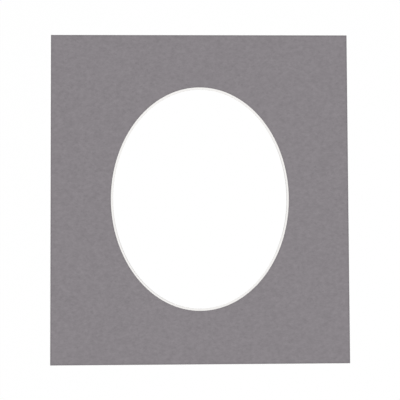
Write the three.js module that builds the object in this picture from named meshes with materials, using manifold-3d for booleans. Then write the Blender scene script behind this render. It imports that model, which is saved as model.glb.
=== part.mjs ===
// Oval picture mount: a sheet of mount board with an oval window cut through it on a slant.
// The board is a laminate. Grey facing paper lies on an ivory core, and the slanted cut shows the core
// as a pale line all round the window.
// It lies on its back in millimetres: +Z is the way the face looks, +Y is up in a frame and +X is right.
// The origin is the middle of the back, which is the surface that the sheet rests on.

import * as THREE from "three";
import { mergeVertices, toCreasedNormals } from "three/addons/utils/BufferGeometryUtils.js";
import Module from "manifold-3d";

const wasm = await Module();
wasm.setup();

// The sheet, as it is cut to drop into a frame's rebate.
const BOARD_WIDTH = 200;
const BOARD_HEIGHT = 221.3;
const CORE_THICKNESS = 1.4;
const FACING_THICKNESS = 0.2;

// The window, measured across the face, where the slanted cut starts. Its oval is centred on the sheet.
const WINDOW_WIDTH = 119.9;
const WINDOW_HEIGHT = 150.6;

// The slope of the cut away from the face. At 45 degrees the bevel is as wide as the board is thick.
const BEVEL_ANGLE_DEG = 45;

// Straight steps in half of the oval, and how far the cutting solid runs past each face of the board.
const STEPS_IN_HALF_OVAL = 120;
const CUT_OVERRUN = 1;

// Faces that meet at less than this are shaded as one, so the bevel looks smooth and its arrises sharp.
const CREASE_ANGLE_DEG = 20;

const BOARD_THICKNESS = CORE_THICKNESS + FACING_THICKNESS;
const BEVEL_RUN_PER_MM = 1 / Math.tan(THREE.MathUtils.degToRad(BEVEL_ANGLE_DEG));

const facingPaper = new THREE.MeshStandardMaterial({ color: 0x8a8589, roughness: 0.92, metalness: 0 });
const coreStock = new THREE.MeshStandardMaterial({ color: 0xf4f1ea, roughness: 0.95, metalness: 0 });

// A closed three.js geometry as a solid that can be cut.
function solidFrom(geometry) {
  const bare = geometry.index ? geometry.toNonIndexed() : geometry.clone();
  bare.deleteAttribute("normal");
  bare.deleteAttribute("uv");
  const merged = mergeVertices(bare);
  return new wasm.Manifold(
    new wasm.Mesh({
      numProp: 3,
      vertProperties: new Float32Array(merged.attributes.position.array),
      triVerts: new Uint32Array(merged.index.array),
    }),
  );
}

// A cut solid as a three.js geometry again.
function geometryFrom(solid) {
  const mesh = solid.getMesh();
  const geometry = new THREE.BufferGeometry();
  geometry.setAttribute("position", new THREE.BufferAttribute(mesh.vertProperties, 3));
  geometry.setIndex(new THREE.BufferAttribute(mesh.triVerts, 1));
  return toCreasedNormals(geometry, THREE.MathUtils.degToRad(CREASE_ANGLE_DEG));
}

// One layer of the uncut board, with its underside at the given height above the back.
function sheetBlank(thickness, underside) {
  const geometry = new THREE.BoxGeometry(BOARD_WIDTH, BOARD_HEIGHT, thickness);
  geometry.translate(0, 0, underside + thickness / 2);
  return solidFrom(geometry);
}

// The waste that drops out of the window. It has the window's full oval at the face, and below the face it
// narrows by the same amount all the way round, as a blade held at one angle leaves it.
function windowWaste() {
  const oval = new THREE.Shape();
  oval.absellipse(0, 0, WINDOW_WIDTH / 2, WINDOW_HEIGHT / 2, 0, 2 * Math.PI);
  const taperHeight = BOARD_THICKNESS + CUT_OVERRUN;
  const taperRun = taperHeight * BEVEL_RUN_PER_MM;
  const geometry = new THREE.ExtrudeGeometry(oval, {
    depth: CUT_OVERRUN,
    curveSegments: STEPS_IN_HALF_OVAL,
    bevelEnabled: true,
    bevelSegments: 1,
    bevelThickness: taperHeight,
    bevelSize: taperRun,
    bevelOffset: -taperRun,
  });
  geometry.translate(0, 0, BOARD_THICKNESS);
  return solidFrom(geometry);
}

function namedMesh(name, solid, material) {
  const mesh = new THREE.Mesh(geometryFrom(solid), material);
  mesh.name = name;
  return mesh;
}

// Both layers are cut by the same waste, so the bevel runs through them in one plane.
const waste = windowWaste();
const coreBoard = sheetBlank(CORE_THICKNESS, 0).subtract(waste);
const facingSheet = sheetBlank(FACING_THICKNESS, CORE_THICKNESS).subtract(waste);

const ovalPictureMount = new THREE.Group();
ovalPictureMount.add(namedMesh("core_board", coreBoard, coreStock));
ovalPictureMount.add(namedMesh("facing_paper", facingSheet, facingPaper));

export default ovalPictureMount;
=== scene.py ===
"""Oval picture mount: a sheet of mount board with an oval window, dressed and lit for the camera.

The sheet lies on its back on a white table. Its grey facing paper and its ivory core are built again as fine
meshes round the same window, with softened arrises, and finished as felted paper and cut pulp board.
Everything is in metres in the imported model's frame: +Z is the way the face looks and +Y is up in a frame.
"""

import logging
import math
from collections.abc import Callable, Iterable
from dataclasses import asdict, dataclass
from enum import Enum, IntEnum
from functools import partial, reduce
from typing import Any, NamedTuple

import bmesh
import bpy
from mathutils import Euler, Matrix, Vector


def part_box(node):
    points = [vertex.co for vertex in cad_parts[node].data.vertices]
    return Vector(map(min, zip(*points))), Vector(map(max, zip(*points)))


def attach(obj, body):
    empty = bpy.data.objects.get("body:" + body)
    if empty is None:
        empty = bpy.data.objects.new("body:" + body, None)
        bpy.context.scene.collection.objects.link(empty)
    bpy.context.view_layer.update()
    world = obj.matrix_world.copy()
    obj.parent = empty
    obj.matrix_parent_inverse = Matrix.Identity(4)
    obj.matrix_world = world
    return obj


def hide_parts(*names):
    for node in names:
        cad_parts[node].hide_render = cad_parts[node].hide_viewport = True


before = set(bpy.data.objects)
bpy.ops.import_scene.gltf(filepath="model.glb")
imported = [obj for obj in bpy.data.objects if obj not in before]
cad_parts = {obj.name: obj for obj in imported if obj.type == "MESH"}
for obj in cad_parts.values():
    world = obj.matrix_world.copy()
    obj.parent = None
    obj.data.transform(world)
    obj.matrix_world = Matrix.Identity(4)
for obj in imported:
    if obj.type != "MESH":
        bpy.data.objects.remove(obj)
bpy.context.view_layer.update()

MM = 0.001
WHITE = (1.0, 1.0, 1.0, 1.0)

log = logging.getLogger("oval_picture_mount")

Colour = tuple[int, int, int]
Socket = bpy.types.NodeSocket


def linear(colour: Colour) -> tuple[float, float, float, float]:
    """Turns a colour as it looks on a screen into the linear one that a shader takes.

    Args:
        colour: Red, green and blue from 0 to 255.

    Returns:
        Linear red, green and blue from 0 to 1, with an alpha of 1.
    """
    full, toe, slope, lift, power = 255, 0.04045, 12.92, 0.055, 2.4
    shares = [channel / full for channel in colour]
    red, green, blue = (s / slope if s <= toe else ((s + lift) / (1 + lift)) ** power for s in shares)
    return red, green, blue, 1.0


class Graph:
    """Lays out one node tree: adds nodes, sets their sockets and links them."""

    def __init__(self, tree: bpy.types.NodeTree) -> None:
        """Takes over the node tree of a material, a world or a group and empties it."""
        self.tree = tree
        tree.nodes.clear()

    def add(self, kind: str, sockets: dict[str | int, Any] | None = None, **settings: Any) -> bpy.types.Node:
        """Adds one node.

        Args:
            kind: The node's type, which gets ShaderNode in front unless it starts with Node.
            sockets: A value or another node's output for each named or numbered input.
            settings: The node's own settings, such as its operation.

        Returns:
            The new node.
        """
        node = self.tree.nodes.new(kind if kind.startswith("Node") else "ShaderNode" + kind)
        for name, value in settings.items():
            setattr(node, name, value)
        for key, value in (sockets or {}).items():
            if isinstance(value, Socket):
                self.tree.links.new(value, node.inputs[key])
            else:
                node.inputs[key].default_value = value
        return node

    def maths(self, operation: str, *values: Any) -> Socket:
        """Adds a Math node over one to three numbers or sockets and returns its output."""
        return self.add("Math", dict(enumerate(values)), operation=operation).outputs[0]

    def vector(self, operation: str, *values: Any) -> bpy.types.Node:
        """Adds a Vector Math node over one to three vectors or sockets and returns the node."""
        return self.add("VectorMath", dict(enumerate(values)), operation=operation)

    def flat(self, place: Socket) -> Socket:
        """Drops a place onto the sheet's plane and returns its output."""
        return self.vector("MULTIPLY", place, (1.0, 1.0, 0.0)).outputs["Vector"]

    def joined(self, operation: str, sockets: Iterable[Socket]) -> Socket:
        """Joins any number of sockets, two at a time, by one operation such as ADD or MAXIMUM."""
        return reduce(partial(self.maths, operation), sockets)

    def grain(self, place: Socket, size: tuple[float, float, float], detail: float = 2.0) -> Socket:
        """Adds noise that swings about zero.

        Args:
            place: Where on the piece, in metres.
            size: How long one swing is along X, Y and Z, in metres.
            detail: Finer octaves on top of the main swing.

        Returns:
            The socket of a value from about -0.5 to 0.5.
        """
        octave_share, middle = 0.55, 0.5
        swings = self.vector("DIVIDE", place, size).outputs["Vector"]
        cloud = self.add(
            "TexNoise", {"Vector": swings, "Scale": 1.0, "Detail": detail, "Roughness": octave_share}
        )
        return self.maths("SUBTRACT", cloud.outputs[0], middle)


class Group:
    """A node group that is built once and placed in every material that asks for it."""

    def __init__(self, name: str, inputs: dict[str, float], outputs: tuple[str, ...]) -> None:
        """Makes the group's tree, its sockets and its two end nodes.

        Args:
            name: The group's name.
            inputs: Each input's name and the value that it has where a material sets none.
            outputs: The names of the values that it gives.
        """
        tree = bpy.data.node_groups.new(name, "ShaderNodeTree")
        for socket, value in inputs.items():
            made = tree.interface.new_socket(name=socket, in_out="INPUT", socket_type="NodeSocketFloat")
            made.default_value = value
        for socket in outputs:
            tree.interface.new_socket(name=socket, in_out="OUTPUT", socket_type="NodeSocketFloat")
        self.graph = Graph(tree)
        self.given = self.graph.add("NodeGroupInput").outputs
        self.asked = self.graph.add("NodeGroupOutput").inputs
        self.place = self.graph.add("TexCoord").outputs["Object"]

    def give(self, name: str, value: Socket) -> None:
        """Links one of the group's outputs."""
        self.graph.tree.links.new(value, self.asked[name])

    def placed_in(self, graph: Graph, **values: float) -> bpy.types.Node:
        """Places the group in a material.

        Args:
            graph: The material's graph.
            values: Inputs that differ from the group's own, with underscores for spaces.

        Returns:
            The group's node.
        """
        node = graph.add("Group", node_tree=self.graph.tree)
        for name, value in values.items():
            node.inputs[name.replace("_", " ").title()].default_value = value
        return node


@dataclass(frozen=True)
class FeltDepths:
    """How strongly each part of the felt shows in one paper, as a share of the paper's colour."""

    cloud_depth: float
    mottle_depth: float
    fibre_depth: float


@dataclass(frozen=True)
class Felt:
    """The look of felted paper: soft clouds from the wet pulp, a fine mottle, stray fibres and a tooth."""

    cloud: float = 9 * MM
    mottle: float = 2.3 * MM
    mottle_detail: float = 4.0
    machine_stretch: float = 1.3
    tooth: float = 0.16 * MM
    fibre_length: float = 2.4 * MM
    fibre_width: float = 0.16 * MM
    fibre_turns_deg: tuple[float, ...] = (17.0, 76.0, 139.0)
    fibre_reach: tuple[float, float] = (0.22, 0.34)
    fibre_bend: float = 0.35 * MM
    bend_detail: float = 1.0
    fibres_kept: tuple[float, float] = (0.72, 0.78)

    def fibres(self, graph: Graph, place: Socket, turn_deg: float) -> Socket:
        """Lays short fibres that lie about one way.

        Args:
            graph: The group's graph.
            place: Where on the piece, in metres.
            turn_deg: The way that the fibres run, in degrees from X.

        Returns:
            The socket of a mask that is 1 on a fibre.
        """
        bent = graph.add(
            "TexNoise", {"Vector": place, "Scale": 1 / self.fibre_length, "Detail": self.bend_detail}
        )
        middle = (0.5, 0.5, 0.5)
        shift = graph.vector("SUBTRACT", bent.outputs["Color"], middle).outputs["Vector"]
        push = graph.add("VectorMath", {0: shift, "Scale": self.fibre_bend}, operation="SCALE")
        wavy = graph.vector("ADD", place, push.outputs["Vector"]).outputs["Vector"]
        cells = graph.add(
            "Mapping",
            {
                "Vector": wavy,
                "Rotation": (0.0, 0.0, math.radians(turn_deg)),
                "Scale": (1 / self.fibre_length, 1 / self.fibre_width, 0.0),
            },
        )
        spots = graph.add(
            "TexVoronoi", {"Vector": cells.outputs["Vector"], "Scale": 1.0}, voronoi_dimensions="2D"
        ).outputs
        core, rim = self.fibre_reach
        near = graph.add("MapRange", {"Value": spots["Distance"], "From Min": rim, "From Max": core})
        draw = graph.add("SeparateColor", {"Color": spots["Color"]}).outputs["Red"]
        faint, full = self.fibres_kept
        kept = graph.add("MapRange", {"Value": draw, "From Min": faint, "From Max": full})
        return graph.maths("MULTIPLY", near.outputs["Result"], kept.outputs["Result"])

    def group(self) -> Group:
        """Builds the group.

        Returns:
            A group that gives Shade, which multiplies a colour, and Height for a bump.
        """
        depths = {"Cloud Depth": 0.01, "Mottle Depth": 0.04, "Fibre Depth": 0.05}
        made = Group("felted_paper", depths, ("Shade", "Height"))
        graph = made.graph
        clouds = graph.grain(made.place, (self.cloud,) * 3)
        along = self.mottle * self.machine_stretch
        mottle = graph.grain(made.place, (along, self.mottle, self.mottle), self.mottle_detail)
        tooth = graph.grain(made.place, (self.tooth,) * 3)
        pale, dark, raised = (self.fibres(graph, made.place, turn) for turn in self.fibre_turns_deg)
        fibres = graph.maths("SUBTRACT", pale, dark)
        parts = [
            graph.maths("MULTIPLY", clouds, made.given["Cloud Depth"]),
            graph.maths("MULTIPLY", mottle, made.given["Mottle Depth"]),
            graph.maths("MULTIPLY", fibres, made.given["Fibre Depth"]),
        ]
        made.give("Shade", graph.maths("ADD", graph.joined("ADD", parts), 1.0))
        made.give("Height", graph.joined("ADD", [tooth, mottle, raised, pale]))
        return made


@dataclass(frozen=True)
class Burnish:
    """The line along each cut edge where the blade and the framer's bone have pressed the paper."""

    def from_outer_edge(self, made: Group) -> Socket:
        """Works out how far in from the sheet's outer edge a point lies.

        Args:
            made: The group, with its half width and half height.

        Returns:
            The socket of the distance, in metres.
        """
        graph, given = made.graph, made.given
        along = graph.add("SeparateXYZ", {"Vector": made.place}).outputs
        side = graph.maths("SUBTRACT", given["Half Width"], graph.maths("ABSOLUTE", along["X"]))
        end = graph.maths("SUBTRACT", given["Half Height"], graph.maths("ABSOLUTE", along["Y"]))
        return graph.maths("MINIMUM", side, end)

    def from_window(self, made: Group) -> Socket:
        """Works out how far out from the window's oval a point lies.

        Close to the oval this is the level (x / a)**2 + (y / b)**2 - 1 over the slope of that level.

        Args:
            made: The group, with the window's half width and half height.

        Returns:
            The socket of the distance, in metres.
        """
        graph, given = made.graph, made.given
        radii = graph.add(
            "CombineXYZ", {"X": given["Window Half Width"], "Y": given["Window Half Height"], "Z": 1.0}
        ).outputs["Vector"]
        flat = graph.flat(made.place)
        scaled = graph.vector("DIVIDE", flat, radii).outputs["Vector"]
        steep = graph.vector("DIVIDE", scaled, radii).outputs["Vector"]
        level = graph.maths("SUBTRACT", graph.vector("DOT_PRODUCT", scaled, scaled).outputs["Value"], 1.0)
        slope = graph.maths("MULTIPLY", graph.vector("LENGTH", steep).outputs["Value"], 2.0)
        return graph.maths("DIVIDE", level, slope)

    def fading(self, made: Group, distance: Socket) -> Socket:
        """Turns a distance from an edge into a mask that falls from 1 there to 0 at the group's reach."""
        fall = {"Value": distance, "From Min": made.given["Reach"], "From Max": 0.0}
        return made.graph.add("MapRange", fall, interpolation_type="SMOOTHSTEP").outputs["Result"]

    def group(self) -> Group:
        """Builds the group.

        Returns:
            A group that gives Mask, which is 1 at a cut edge and falls to 0 over the stated reach.
        """
        inputs = {
            "Half Width": 0.1,
            "Half Height": 0.1,
            "Window Half Width": 0.05,
            "Window Half Height": 0.05,
            "Reach": 0.6 * MM,
            "Window Share": 1.0,
        }
        made = Group("burnished_cut_edge", inputs, ("Mask",))
        outer = self.fading(made, self.from_outer_edge(made))
        inner = self.fading(made, self.from_window(made))
        inner = made.graph.maths("MULTIPLY", inner, made.given["Window Share"])
        made.give("Mask", made.graph.maths("MAXIMUM", outer, inner))
        return made


@dataclass(frozen=True)
class FootShade:
    """Painted shade: a grey line along the foot of the cut that stands in for the shadow there, darkest on
    the right and at the lower left.
    """

    # where the painted shade at the foot of the cut is darkest, in degrees from X
    strongest_deg: tuple[float, ...] = (0.0, 225.0)
    spread_deg: float = 48.0

    def lobe(self, graph: Graph, way: Socket, turn_deg: float) -> Socket:
        """Marks one stretch of the window where the line is strong.

        Args:
            graph: The group's graph.
            way: The direction from the sheet's middle.
            turn_deg: Where the line is strongest, in degrees from X.

        Returns:
            The socket of a mask that is 1 there and 0 past the spread.
        """
        turn, spread = math.radians(turn_deg), math.radians(self.spread_deg)
        towards = (math.cos(turn), math.sin(turn), 0.0)
        along = graph.vector("DOT_PRODUCT", way, towards).outputs["Value"]
        rise = {"Value": along, "From Min": math.cos(spread), "From Max": 1.0}
        return graph.add("MapRange", rise, interpolation_type="SMOOTHSTEP").outputs["Result"]

    def group(self) -> Group:
        """Builds the group.

        Returns:
            A group that gives Shade, which is 1 where there is no line and falls by Depth where the line is
            strongest.
        """
        made = Group("painted_foot_shade", {"Depth": 0.3}, ("Shade",))
        way = made.graph.vector("NORMALIZE", made.graph.flat(made.place)).outputs["Vector"]
        lobes = (self.lobe(made.graph, way, turn_deg) for turn_deg in self.strongest_deg)
        fall = made.graph.maths("MULTIPLY", made.graph.joined("ADD", lobes), made.given["Depth"])
        made.give("Shade", made.graph.maths("SUBTRACT", 1.0, fall))
        return made


@dataclass(frozen=True)
class Pulp:
    """The look of cut pulp board: thin plies along the sheet, a short grain and a faint stain."""

    ply: float = 0.09 * MM
    ply_length: float = 14 * MM
    ply_detail: float = 3.0
    grain: float = 0.14 * MM
    stain: float = 5 * MM

    def group(self) -> Group:
        """Builds the group.

        Returns:
            A group that gives Shade, which multiplies a colour, and Height for a bump.
        """
        depths = {"Ply Depth": 0.03, "Grain Depth": 0.03, "Stain Depth": 0.01}
        made = Group("cut_pulp", depths, ("Shade", "Height"))
        graph = made.graph
        plies = graph.grain(made.place, (self.ply_length, self.ply_length, self.ply), self.ply_detail)
        grain = graph.grain(made.place, (self.grain,) * 3)
        stain = graph.grain(made.place, (self.stain,) * 3)
        parts = [
            graph.maths("MULTIPLY", plies, made.given["Ply Depth"]),
            graph.maths("MULTIPLY", grain, made.given["Grain Depth"]),
            graph.maths("MULTIPLY", stain, made.given["Stain Depth"]),
        ]
        made.give("Shade", graph.maths("ADD", graph.joined("ADD", parts), 1.0))
        made.give("Height", graph.maths("ADD", plies, grain))
        return made


class Pattern(NamedTuple):
    """What a pattern gives a shader: its shade, its height and its roughness where that changes."""

    shade: Socket
    height: Socket
    roughness: Socket | None = None


@dataclass(frozen=True)
class Finish:
    """One finish of the board: its colour, how matt it is and how deep its texture goes."""

    name: str
    colour: Colour
    roughness: float
    specular: float
    bump: float

    def material(self, lay: Callable[[Graph], Pattern]) -> bpy.types.Material:
        """Builds the material.

        Args:
            lay: Lays the finish's pattern in the material's graph.

        Returns:
            The material.
        """
        made = bpy.data.materials.new(self.name)
        made.use_nodes = True
        graph = Graph(made.node_tree)
        pattern = lay(graph)
        tinted = graph.vector("SCALE", linear(self.colour)[:3])
        graph.tree.links.new(pattern.shade, tinted.inputs["Scale"])
        bump = graph.add("Bump", {"Strength": 1.0, "Distance": self.bump, "Height": pattern.height})
        shader = graph.add(
            "BsdfPrincipled",
            {
                "Base Color": tinted.outputs["Vector"],
                "Roughness": self.roughness if pattern.roughness is None else pattern.roughness,
                "Specular IOR Level": self.specular,
                "Normal": bump.outputs["Normal"],
            },
        )
        graph.add("OutputMaterial", {"Surface": shader.outputs["BSDF"]})
        return made


class Zone(IntEnum):
    """The bands of a layer's surface, in the order of its material slots."""

    FACE = 0
    CUT = 1
    LINING = 2
    LINING_CUT = 3


@dataclass(frozen=True)
class OvalWindow:
    """The window's oval across the face, with half its width and half its height."""

    half_width: float
    half_height: float

    def point(self, towards: Vector, inset: float) -> Vector:
        """Finds the window's edge on the line from the sheet's middle towards a point.

        Args:
            towards: A point of the sheet.
            inset: How far inside the oval the wanted point lies, square to the oval.

        Returns:
            The point in the sheet's plane.
        """
        turn = math.atan2(towards.y / self.half_height, towards.x / self.half_width)
        on_oval = Vector((self.half_width * math.cos(turn), self.half_height * math.sin(turn)))
        outwards = Vector((math.cos(turn) / self.half_width, math.sin(turn) / self.half_height)).normalized()
        return on_oval - outwards * inset


@dataclass(frozen=True)
class Station:
    """One loop round the sheet, which is one point of its section.

    share is 0 at the sheet's outer edge and 1 at the window, and inset is how far in from the outer edge, or
    inside the face's oval, the loop lies there. zone is the band from this loop to the next.
    """

    share: float
    height: float
    zone: Zone
    inset: float = 0.0


@dataclass
class Sheet:
    """One layer of the board: a closed ring of board between the sheet's square edge and the oval."""

    name: str
    node: str
    slot: str
    window: OvalWindow
    half_width: float
    half_height: float
    stations: list[Station]
    soft_heights: tuple[float, ...]
    arris: float = 0.05 * MM
    merge_distance: float = 0.0005 * MM
    steps_on_a_side: int = 180
    crease_deg: float = 35.0
    arris_segments: int = 3

    def place(self, outer: Vector, station: Station) -> Vector:
        """Finds where one point of the outer edge comes to lie in a station's loop.

        Args:
            outer: The point of the sheet's outline that the loop's point faces.
            station: The loop.

        Returns:
            The point in space.
        """
        edge_inset = station.inset if station.share < 1 else 0.0
        edge = Vector((
            max(-self.half_width + edge_inset, min(self.half_width - edge_inset, outer.x)),
            max(-self.half_height + edge_inset, min(self.half_height - edge_inset, outer.y)),
        ))
        if station.share == 0:
            return Vector((edge.x, edge.y, station.height))
        cut = self.window.point(outer, station.inset if station.share == 1 else 0.0)
        spot = edge.lerp(cut, station.share)
        return Vector((spot.x, spot.y, station.height))

    def outer_loop(self, bm: bmesh.types.BMesh) -> tuple[list[bmesh.types.BMEdge], Any]:
        """Lays the sheet's square outline as one loop of short edges.

        Args:
            bm: An empty mesh.

        Returns:
            The loop's edges, and the layer that keeps each point's place on the outline.
        """
        bmesh.ops.create_grid(bm, x_segments=1, y_segments=1, size=1.0)
        bmesh.ops.scale(bm, vec=(self.half_width, self.half_height, 1.0), verts=bm.verts)
        bmesh.ops.delete(bm, geom=bm.faces[:], context="FACES_ONLY")
        bmesh.ops.subdivide_edges(bm, edges=bm.edges[:], cuts=self.steps_on_a_side - 1)
        outline = bm.verts.layers.float_vector.new("outline")
        for vert in bm.verts:
            vert[outline] = vert.co
        return bm.edges[:], outline

    def mesh(self) -> bpy.types.Mesh:
        """Builds the layer's mesh by carrying the outline round the section, loop by loop.

        Returns:
            The finished mesh.
        """
        bm = bmesh.new()
        loop, outline = self.outer_loop(bm)
        for vert in bm.verts:
            vert.co = self.place(vert[outline], self.stations[0])
        for here, station in zip(self.stations, self.stations[1:] + self.stations[:1]):
            grown = bmesh.ops.extrude_edge_only(bm, edges=loop)["geom"]
            loop = [item for item in grown if isinstance(item, bmesh.types.BMEdge)]
            for vert in {vert for edge in loop for vert in edge.verts}:
                vert.co = self.place(vert[outline], station)
            for face in (item for item in grown if isinstance(item, bmesh.types.BMFace)):
                face.material_index = here.zone
        bmesh.ops.remove_doubles(bm, verts=bm.verts, dist=self.merge_distance)
        bmesh.ops.recalc_face_normals(bm, faces=bm.faces)
        self.soften(bm)
        mesh = bpy.data.meshes.new(self.name)
        bm.to_mesh(mesh)
        bm.free()
        return mesh

    def is_sharp(self, edge: bmesh.types.BMEdge) -> bool:
        """Tells whether the faces beside an edge meet at more than the crease angle."""
        return edge.calc_face_angle(0.0) > math.radians(self.crease_deg)

    def is_open(self, edge: bmesh.types.BMEdge) -> bool:
        """Tells an arris in the open, or an upright corner of the sheet, from the glued arris.

        Args:
            edge: A sharp edge of the layer's mesh.

        Returns:
            True if the edge is open to the hand.
        """
        low, high = sorted(vert.co.z for vert in edge.verts)
        level = any(max(abs(low - soft), abs(high - soft)) < self.arris for soft in self.soft_heights)
        return level or high - low > self.arris

    def soften(self, bm: bmesh.types.BMesh) -> None:
        """Rounds the arrises that are open to the hand and marks what is shaded as a crease.

        Args:
            bm: The layer's mesh.
        """
        open_arrises = [edge for edge in bm.edges if self.is_sharp(edge) and self.is_open(edge)]
        bmesh.ops.bevel(bm, geom=open_arrises, offset=self.arris, offset_type="OFFSET", affect="EDGES",
                        segments=self.arris_segments, profile=0.5, material=-1, clamp_overlap=True)
        for face in bm.faces:
            face.smooth = True
        for edge in bm.edges:
            edge.smooth = not self.is_sharp(edge)

    def dress(self, mesh: bpy.types.Mesh, finishes: dict[Zone, bpy.types.Material]) -> None:
        """Gives each zone of the layer's mesh its material."""
        for zone in Zone:
            mesh.materials.append(finishes[zone])

    def build(self, finishes: dict[Zone, bpy.types.Material]) -> bpy.types.Object:
        """Makes the layer's object, dresses it and puts it in its node's place.

        Args:
            finishes: The material of each zone.

        Returns:
            The object.
        """
        mesh = self.mesh()
        self.dress(mesh, finishes)
        piece = bpy.data.objects.new(self.name, mesh)
        bpy.context.scene.collection.objects.link(piece)
        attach(piece, "root")
        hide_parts(self.node)
        return piece


@dataclass
class MountBoard:
    """The whole mount: grey facing paper on an ivory core, with the lining paper of its back."""

    lining: float = 0.25 * MM
    # how much darker the painted shade makes the foot of the cut on the right and at the lower left
    drag_darker: float = 0.34
    support: float = 0.3 * MM
    pressed_reach: float = 1.5 * MM
    pressed_darker: float = 0.18
    pressed_at_window: float = 0.35
    pressed_smoother: float = 0.12
    face_felt: FeltDepths = FeltDepths(0.06, 0.36, 0.1)
    plain_felt: FeltDepths = FeltDepths(0.02, 0.04, 0.03)
    rings: int = 12
    bevel_rings: int = 4
    grey: Finish = Finish("grey_facing", (138, 133, 137), 0.92, 0.25, 0.04 * MM)
    grey_cut: Finish = Finish("grey_facing_cut", (128, 124, 127), 0.96, 0.15, 0.03 * MM)
    ivory: Finish = Finish("ivory_core_cut", (251, 249, 247), 0.95, 0.2, 0.015 * MM)
    backing: Finish = Finish("lining_paper", (236, 233, 225), 0.93, 0.2, 0.02 * MM)
    backing_cut: Finish = Finish("lining_paper_cut", (241, 239, 237), 0.96, 0.15, 0.02 * MM)

    def __post_init__(self) -> None:
        """Reads the layers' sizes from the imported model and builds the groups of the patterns."""
        low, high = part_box("facing_paper")
        self.half_width, self.half_height = high.x, high.y
        self.glue_line, self.thickness = low.z, high.z
        self.window = self.window_at(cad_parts["facing_paper"], self.thickness)
        foot = self.window_at(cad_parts["core_board"], 0.0)
        self.run = (self.window.half_width - foot.half_width) / self.thickness
        self.felt, self.burnish = Felt().group(), Burnish().group()
        # the last group paints shade along the foot of the cut
        self.pulp, self.drag = Pulp().group(), FootShade().group()

    def window_at(self, node: bpy.types.Object, height: float) -> OvalWindow:
        """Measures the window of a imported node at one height.

        Args:
            node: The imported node.
            height: The height of the face to measure on, above the back.

        Returns:
            The oval with the window's half width and half height there.
        """
        hair = 0.01 * MM
        level = [vert.co for vert in node.data.vertices if abs(vert.co.z - height) < hair]
        side, end = self.half_width - hair, self.half_height - hair
        rim = [co for co in level if abs(co.x) < side and abs(co.y) < end]
        return OvalWindow(max(co.x for co in rim), max(co.y for co in rim))

    def cut(self, height: float, zone: Zone) -> Station:
        """Puts a station on the slanted cut at a height above the back, with the zone from there on."""
        return Station(1.0, height, zone, (self.thickness - height) * self.run)

    def across(self, height: float, zone: Zone, to_window: bool) -> list[Station]:
        """Spreads stations over a flat side of a layer, with one close to each edge.

        Args:
            height: The height of that side.
            zone: Its finish.
            to_window: True if the section runs from the outer edge to the window.

        Returns:
            The stations in order, without the edges themselves.
        """
        beside_cut = (self.thickness - height) * self.run - self.support
        shares = [step / self.rings for step in range(1, self.rings)]
        spread = [Station(0.0, height, zone, self.support)]
        spread += [Station(share, height, zone) for share in shares]
        spread.append(Station(1.0, height, zone, beside_cut))
        return spread if to_window else spread[::-1]

    def facing_stations(self) -> list[Station]:
        """Lists the loops of the facing paper.

        Returns:
            The stations from the outer foot up, over the face, down the cut and back underneath.
        """
        return [
            Station(0.0, self.glue_line, Zone.CUT),
            Station(0.0, self.thickness, Zone.FACE),
            *self.across(self.thickness, Zone.FACE, to_window=True),
            Station(1.0, self.thickness, Zone.CUT),
            self.cut(self.glue_line, Zone.FACE),
            *self.across(self.glue_line, Zone.FACE, to_window=False),
        ]

    def core_stations(self) -> list[Station]:
        """Lists the loops of the core.

        Returns:
            The stations from the outer foot up, under the facing, down the cut and back underneath.
        """
        fall = self.glue_line - self.lining
        steps = [self.glue_line - fall * step / self.bevel_rings for step in range(self.bevel_rings)]
        return [
            Station(0.0, 0.0, Zone.LINING_CUT),
            Station(0.0, self.lining, Zone.CUT),
            Station(0.0, self.glue_line, Zone.FACE),
            *self.across(self.glue_line, Zone.FACE, to_window=True),
            *(self.cut(height, Zone.CUT) for height in steps),
            self.cut(self.lining, Zone.LINING_CUT),
            self.cut(0.0, Zone.LINING),
            *self.across(0.0, Zone.LINING, to_window=False),
        ]

    def plain_paper(self, graph: Graph) -> Pattern:
        """Lays the felt of the lining paper and of the facing's cut."""
        laid = self.felt.placed_in(graph, **asdict(self.plain_felt)).outputs
        return Pattern(laid["Shade"], laid["Height"])

    def pressed_paper(self, graph: Graph) -> Pattern:
        """Lays the felt of the face, pressed darker and smoother along the cut edges.

        Args:
            graph: The material's graph.

        Returns:
            The pattern.
        """
        laid = self.felt.placed_in(graph, **asdict(self.face_felt)).outputs
        pressed = self.burnish.placed_in(
            graph,
            half_width=self.half_width,
            half_height=self.half_height,
            window_half_width=self.window.half_width,
            window_half_height=self.window.half_height,
            reach=self.pressed_reach,
            window_share=self.pressed_at_window,
        ).outputs["Mask"]
        darker = graph.maths("MULTIPLY_ADD", pressed, -self.pressed_darker, 1.0)
        rough = graph.maths("MULTIPLY_ADD", pressed, -self.pressed_smoother, self.grey.roughness)
        return Pattern(graph.maths("MULTIPLY", laid["Shade"], darker), laid["Height"], rough)

    def cut_board(self, graph: Graph) -> Pattern:
        """Lays the plies and the grain of the core's cut."""
        laid = self.pulp.placed_in(graph).outputs
        return Pattern(laid["Shade"], laid["Height"])

    def dragged_lining(self, graph: Graph) -> Pattern:
        """Lays the lining's cut, greyed by painted shade along the foot of the cut on the right and at the
        lower left.

        Args:
            graph: The material's graph.

        Returns:
            The pattern.
        """
        laid = self.pulp.placed_in(graph).outputs
        # painted shade: greys the foot of the cut on the right and at the lower left
        line = self.drag.placed_in(graph, depth=self.drag_darker).outputs["Shade"]
        return Pattern(graph.maths("MULTIPLY", laid["Shade"], line), laid["Height"])

    def finishes(self) -> tuple[dict[Zone, bpy.types.Material], dict[Zone, bpy.types.Material]]:
        """Builds the board's materials.

        Returns:
            The materials of the facing paper and of the core, by zone.
        """
        face = self.grey.material(self.pressed_paper)
        face_cut = self.grey_cut.material(self.plain_paper)
        core = self.ivory.material(self.cut_board)
        back = self.backing.material(self.plain_paper)
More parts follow.
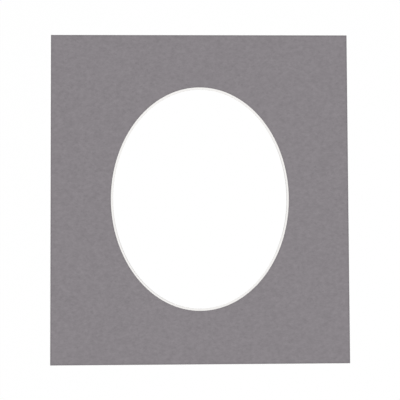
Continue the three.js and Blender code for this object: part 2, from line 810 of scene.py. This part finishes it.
        # the lining's cut carries the painted shade at the foot of the cut
        back_cut = self.backing_cut.material(self.dragged_lining)
        facing = {Zone.FACE: face, Zone.CUT: face_cut, Zone.LINING: face, Zone.LINING_CUT: face_cut}
        inner = {Zone.FACE: core, Zone.CUT: core, Zone.LINING: back, Zone.LINING_CUT: back_cut}
        return facing, inner

    def build(self) -> list[bpy.types.Object]:
        """Builds both layers.

        Returns:
            The objects of the facing paper and of the core.
        """
        facing, inner = self.finishes()
        shared = {"window": self.window, "half_width": self.half_width, "half_height": self.half_height}
        face_sheet = Sheet("facing_sheet", "facing_paper", "grey_facing", stations=self.facing_stations(),
                           soft_heights=(self.thickness,), **shared)
        core_sheet = Sheet("core_sheet", "core_board", "ivory_core", stations=self.core_stations(),
                           soft_heights=(0.0,), **shared)
        return [face_sheet.build(facing), core_sheet.build(inner)]


class Ray(Enum):
    """The rays that see the background as plain white."""

    CAMERA = "Is Camera Ray"
    GLOSSY = "Is Glossy Ray"
    TRANSMISSION = "Is Transmission Ray"


@dataclass
class Studio:
    """A white table under a wide soft lamp in a pale room, and the camera above it."""

    sky_share: float = 0.55
    table_white: float = 0.9
    table_half_size: float = 2.0
    table_cells: int = 8
    table_drop: float = 0.02 * MM
    shadow_share: float = 0.3
    lamp_radius: float = 0.6
    lamp_place: tuple[float, float, float] = (0.04, -0.05, 1.5)
    camera_place: tuple[float, float, float] = (-0.01963, -0.03246, 0.68407)
    camera_tilt_deg: tuple[float, float, float] = (2.648, -1.632, -0.249)
    focal_px: float = 1018.0
    image_px: float = 400.0
    sensor: float = 36.0
    nearest: float = 0.01

    def seen(self, graph: Graph) -> Socket:
        """Adds a mask that is 1 for the rays that see the background as plain white, and 0 for the rest."""
        path = graph.add("LightPath").outputs
        return graph.joined("MAXIMUM", (path[ray.value] for ray in Ray))

    def table(self) -> bpy.types.Object:
        """Lays the white table that the sheet rests on, which keeps a soft share of its shadow.

        Returns:
            The table.
        """
        bm = bmesh.new()
        bmesh.ops.create_grid(
            bm, x_segments=self.table_cells, y_segments=self.table_cells, size=self.table_half_size
        )
        bmesh.ops.translate(bm, vec=(0.0, 0.0, -self.table_drop), verts=bm.verts)
        mesh = bpy.data.meshes.new("table")
        bm.to_mesh(mesh)
        bm.free()
        top = bpy.data.materials.new("white_table")
        top.use_nodes = True
        graph = Graph(top.node_tree)
        seen = self.seen(graph)
        lit = graph.add("MapRange", {"Value": seen, "To Min": self.table_white, "To Max": 1.0})
        matt = graph.add("BsdfDiffuse", {"Color": lit.outputs["Result"]})
        white = graph.add("Emission", {"Color": WHITE, "Strength": 1.0})
        share = graph.maths("MULTIPLY", seen, 1.0 - self.shadow_share)
        both = graph.add("MixShader", {0: share, 1: matt.outputs["BSDF"], 2: white.outputs["Emission"]})
        graph.add("OutputMaterial", {"Surface": both.outputs["Shader"]})
        mesh.materials.append(top)
        table = bpy.data.objects.new("table", mesh)
        bpy.context.scene.collection.objects.link(table)
        return table

    def room(self) -> None:
        """Fills the room with even white light, seen as plain white."""
        world = bpy.data.worlds.new("pale_room")
        world.use_nodes = True
        graph = Graph(world.node_tree)
        seen = self.seen(graph)
        strength = graph.add("MapRange", {"Value": seen, "To Min": self.sky_share, "To Max": 1.0})
        white = graph.add("Background", {"Color": WHITE, "Strength": strength.outputs["Result"]})
        graph.add("OutputWorld", {"Surface": white.outputs["Background"]})
        bpy.context.scene.world = world

    def lamp(self) -> bpy.types.Object:
        """Hangs a round soft lamp over the table that brings the light on the sheet up to a plain 1.

        Returns:
            The lamp.
        """
        reach = Vector(self.lamp_place)
        lamp = bpy.data.lights.new("soft_lamp", "AREA")
        lamp.shape = "DISK"
        lamp.size = 2 * self.lamp_radius
        spread = self.lamp_radius**2 / (self.lamp_radius**2 + reach.length_squared)
        lean = reach.normalized().z
        radiance = (1.0 - self.sky_share) / (spread * lean)
        disk = math.pi * self.lamp_radius**2
        lamp.energy = radiance * math.pi * disk
        hung = bpy.data.objects.new("soft_lamp", lamp)
        hung.location = reach
        hung.rotation_euler = reach.to_track_quat("Z", "Y").to_euler()
        hung.visible_camera = False
        bpy.context.scene.collection.objects.link(hung)
        return hung

    def camera(self) -> bpy.types.Object:
        """Sets the camera where the photograph was taken from.

        Returns:
            The camera.
        """
        lens = bpy.data.cameras.new("camera")
        lens.sensor_fit = "HORIZONTAL"
        lens.sensor_width = self.sensor
        lens.lens = self.focal_px / self.image_px * self.sensor
        lens.clip_start = self.nearest
        stand = bpy.data.objects.new("camera", lens)
        stand.location = self.camera_place
        stand.rotation_euler = Euler([math.radians(turn) for turn in self.camera_tilt_deg], "XYZ")
        bpy.context.scene.collection.objects.link(stand)
        bpy.context.scene.camera = stand
        return stand

    def build(self) -> list[bpy.types.Object]:
        """Builds the room, the table, the lamp and the camera.

        Returns:
            The objects of the last three.
        """
        bpy.context.scene.view_settings.view_transform = "Standard"
        self.room()
        return [self.table(), self.lamp(), self.camera()]


def main() -> None:
    """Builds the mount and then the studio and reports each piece."""
    logging.basicConfig(level=logging.INFO)
    for piece in MountBoard().build():
        log.info("%s: %d faces", piece.name, len(piece.data.polygons))
    for prop in Studio().build():
        log.info("%s: set up", prop.name)


if __name__ == "__main__":
    main()
